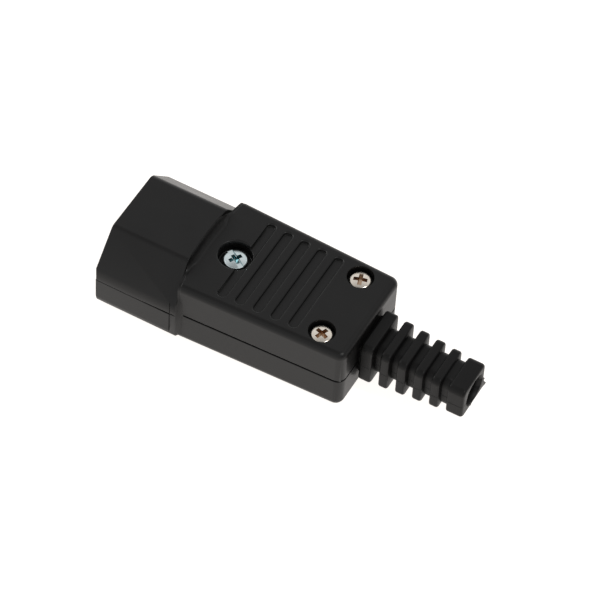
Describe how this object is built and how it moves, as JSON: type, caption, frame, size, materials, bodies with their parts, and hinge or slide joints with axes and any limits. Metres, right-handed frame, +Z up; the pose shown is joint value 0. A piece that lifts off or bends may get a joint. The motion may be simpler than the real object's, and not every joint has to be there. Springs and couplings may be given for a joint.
{
  "type": "iec power plug",
  "caption": "Rewirable C13 line connector with a split moulded black housing, recessed cover screws, grip grooves, flat-pin contacts and a ribbed rubber cord boot.",
  "frame": {"origin": "centre of the footprint, on the underside that the connector lies on", "axes": "+X runs from the nose to the cord boot, +Y to the neutral side, +Z up through the cover screws"},
  "size_m": [0.0662, 0.024, 0.0157],
  "materials": {
    "housing": "satin moulded black",
    "boot_rubber": "soft moulded black",
    "zinc_steel": "bright zinc",
    "nickel_steel": "bright nickel",
    "contact_brass": "bright stamped"
  },
  "bodies": {
    "root": {"upper_shell": "housing", "lower_shell": "housing", "front_cover_screw": "zinc_steel", "front_cover_nut": "zinc_steel", "rear_cover_screws": "nickel_steel", "live_contact": "contact_brass", "neutral_contact": "contact_brass", "earth_contact": "contact_brass", "terminal_screws": "zinc_steel", "earth_terminal_screw": "zinc_steel", "strain_relief_boot": "boot_rubber"}
  },
  "joints": []
}
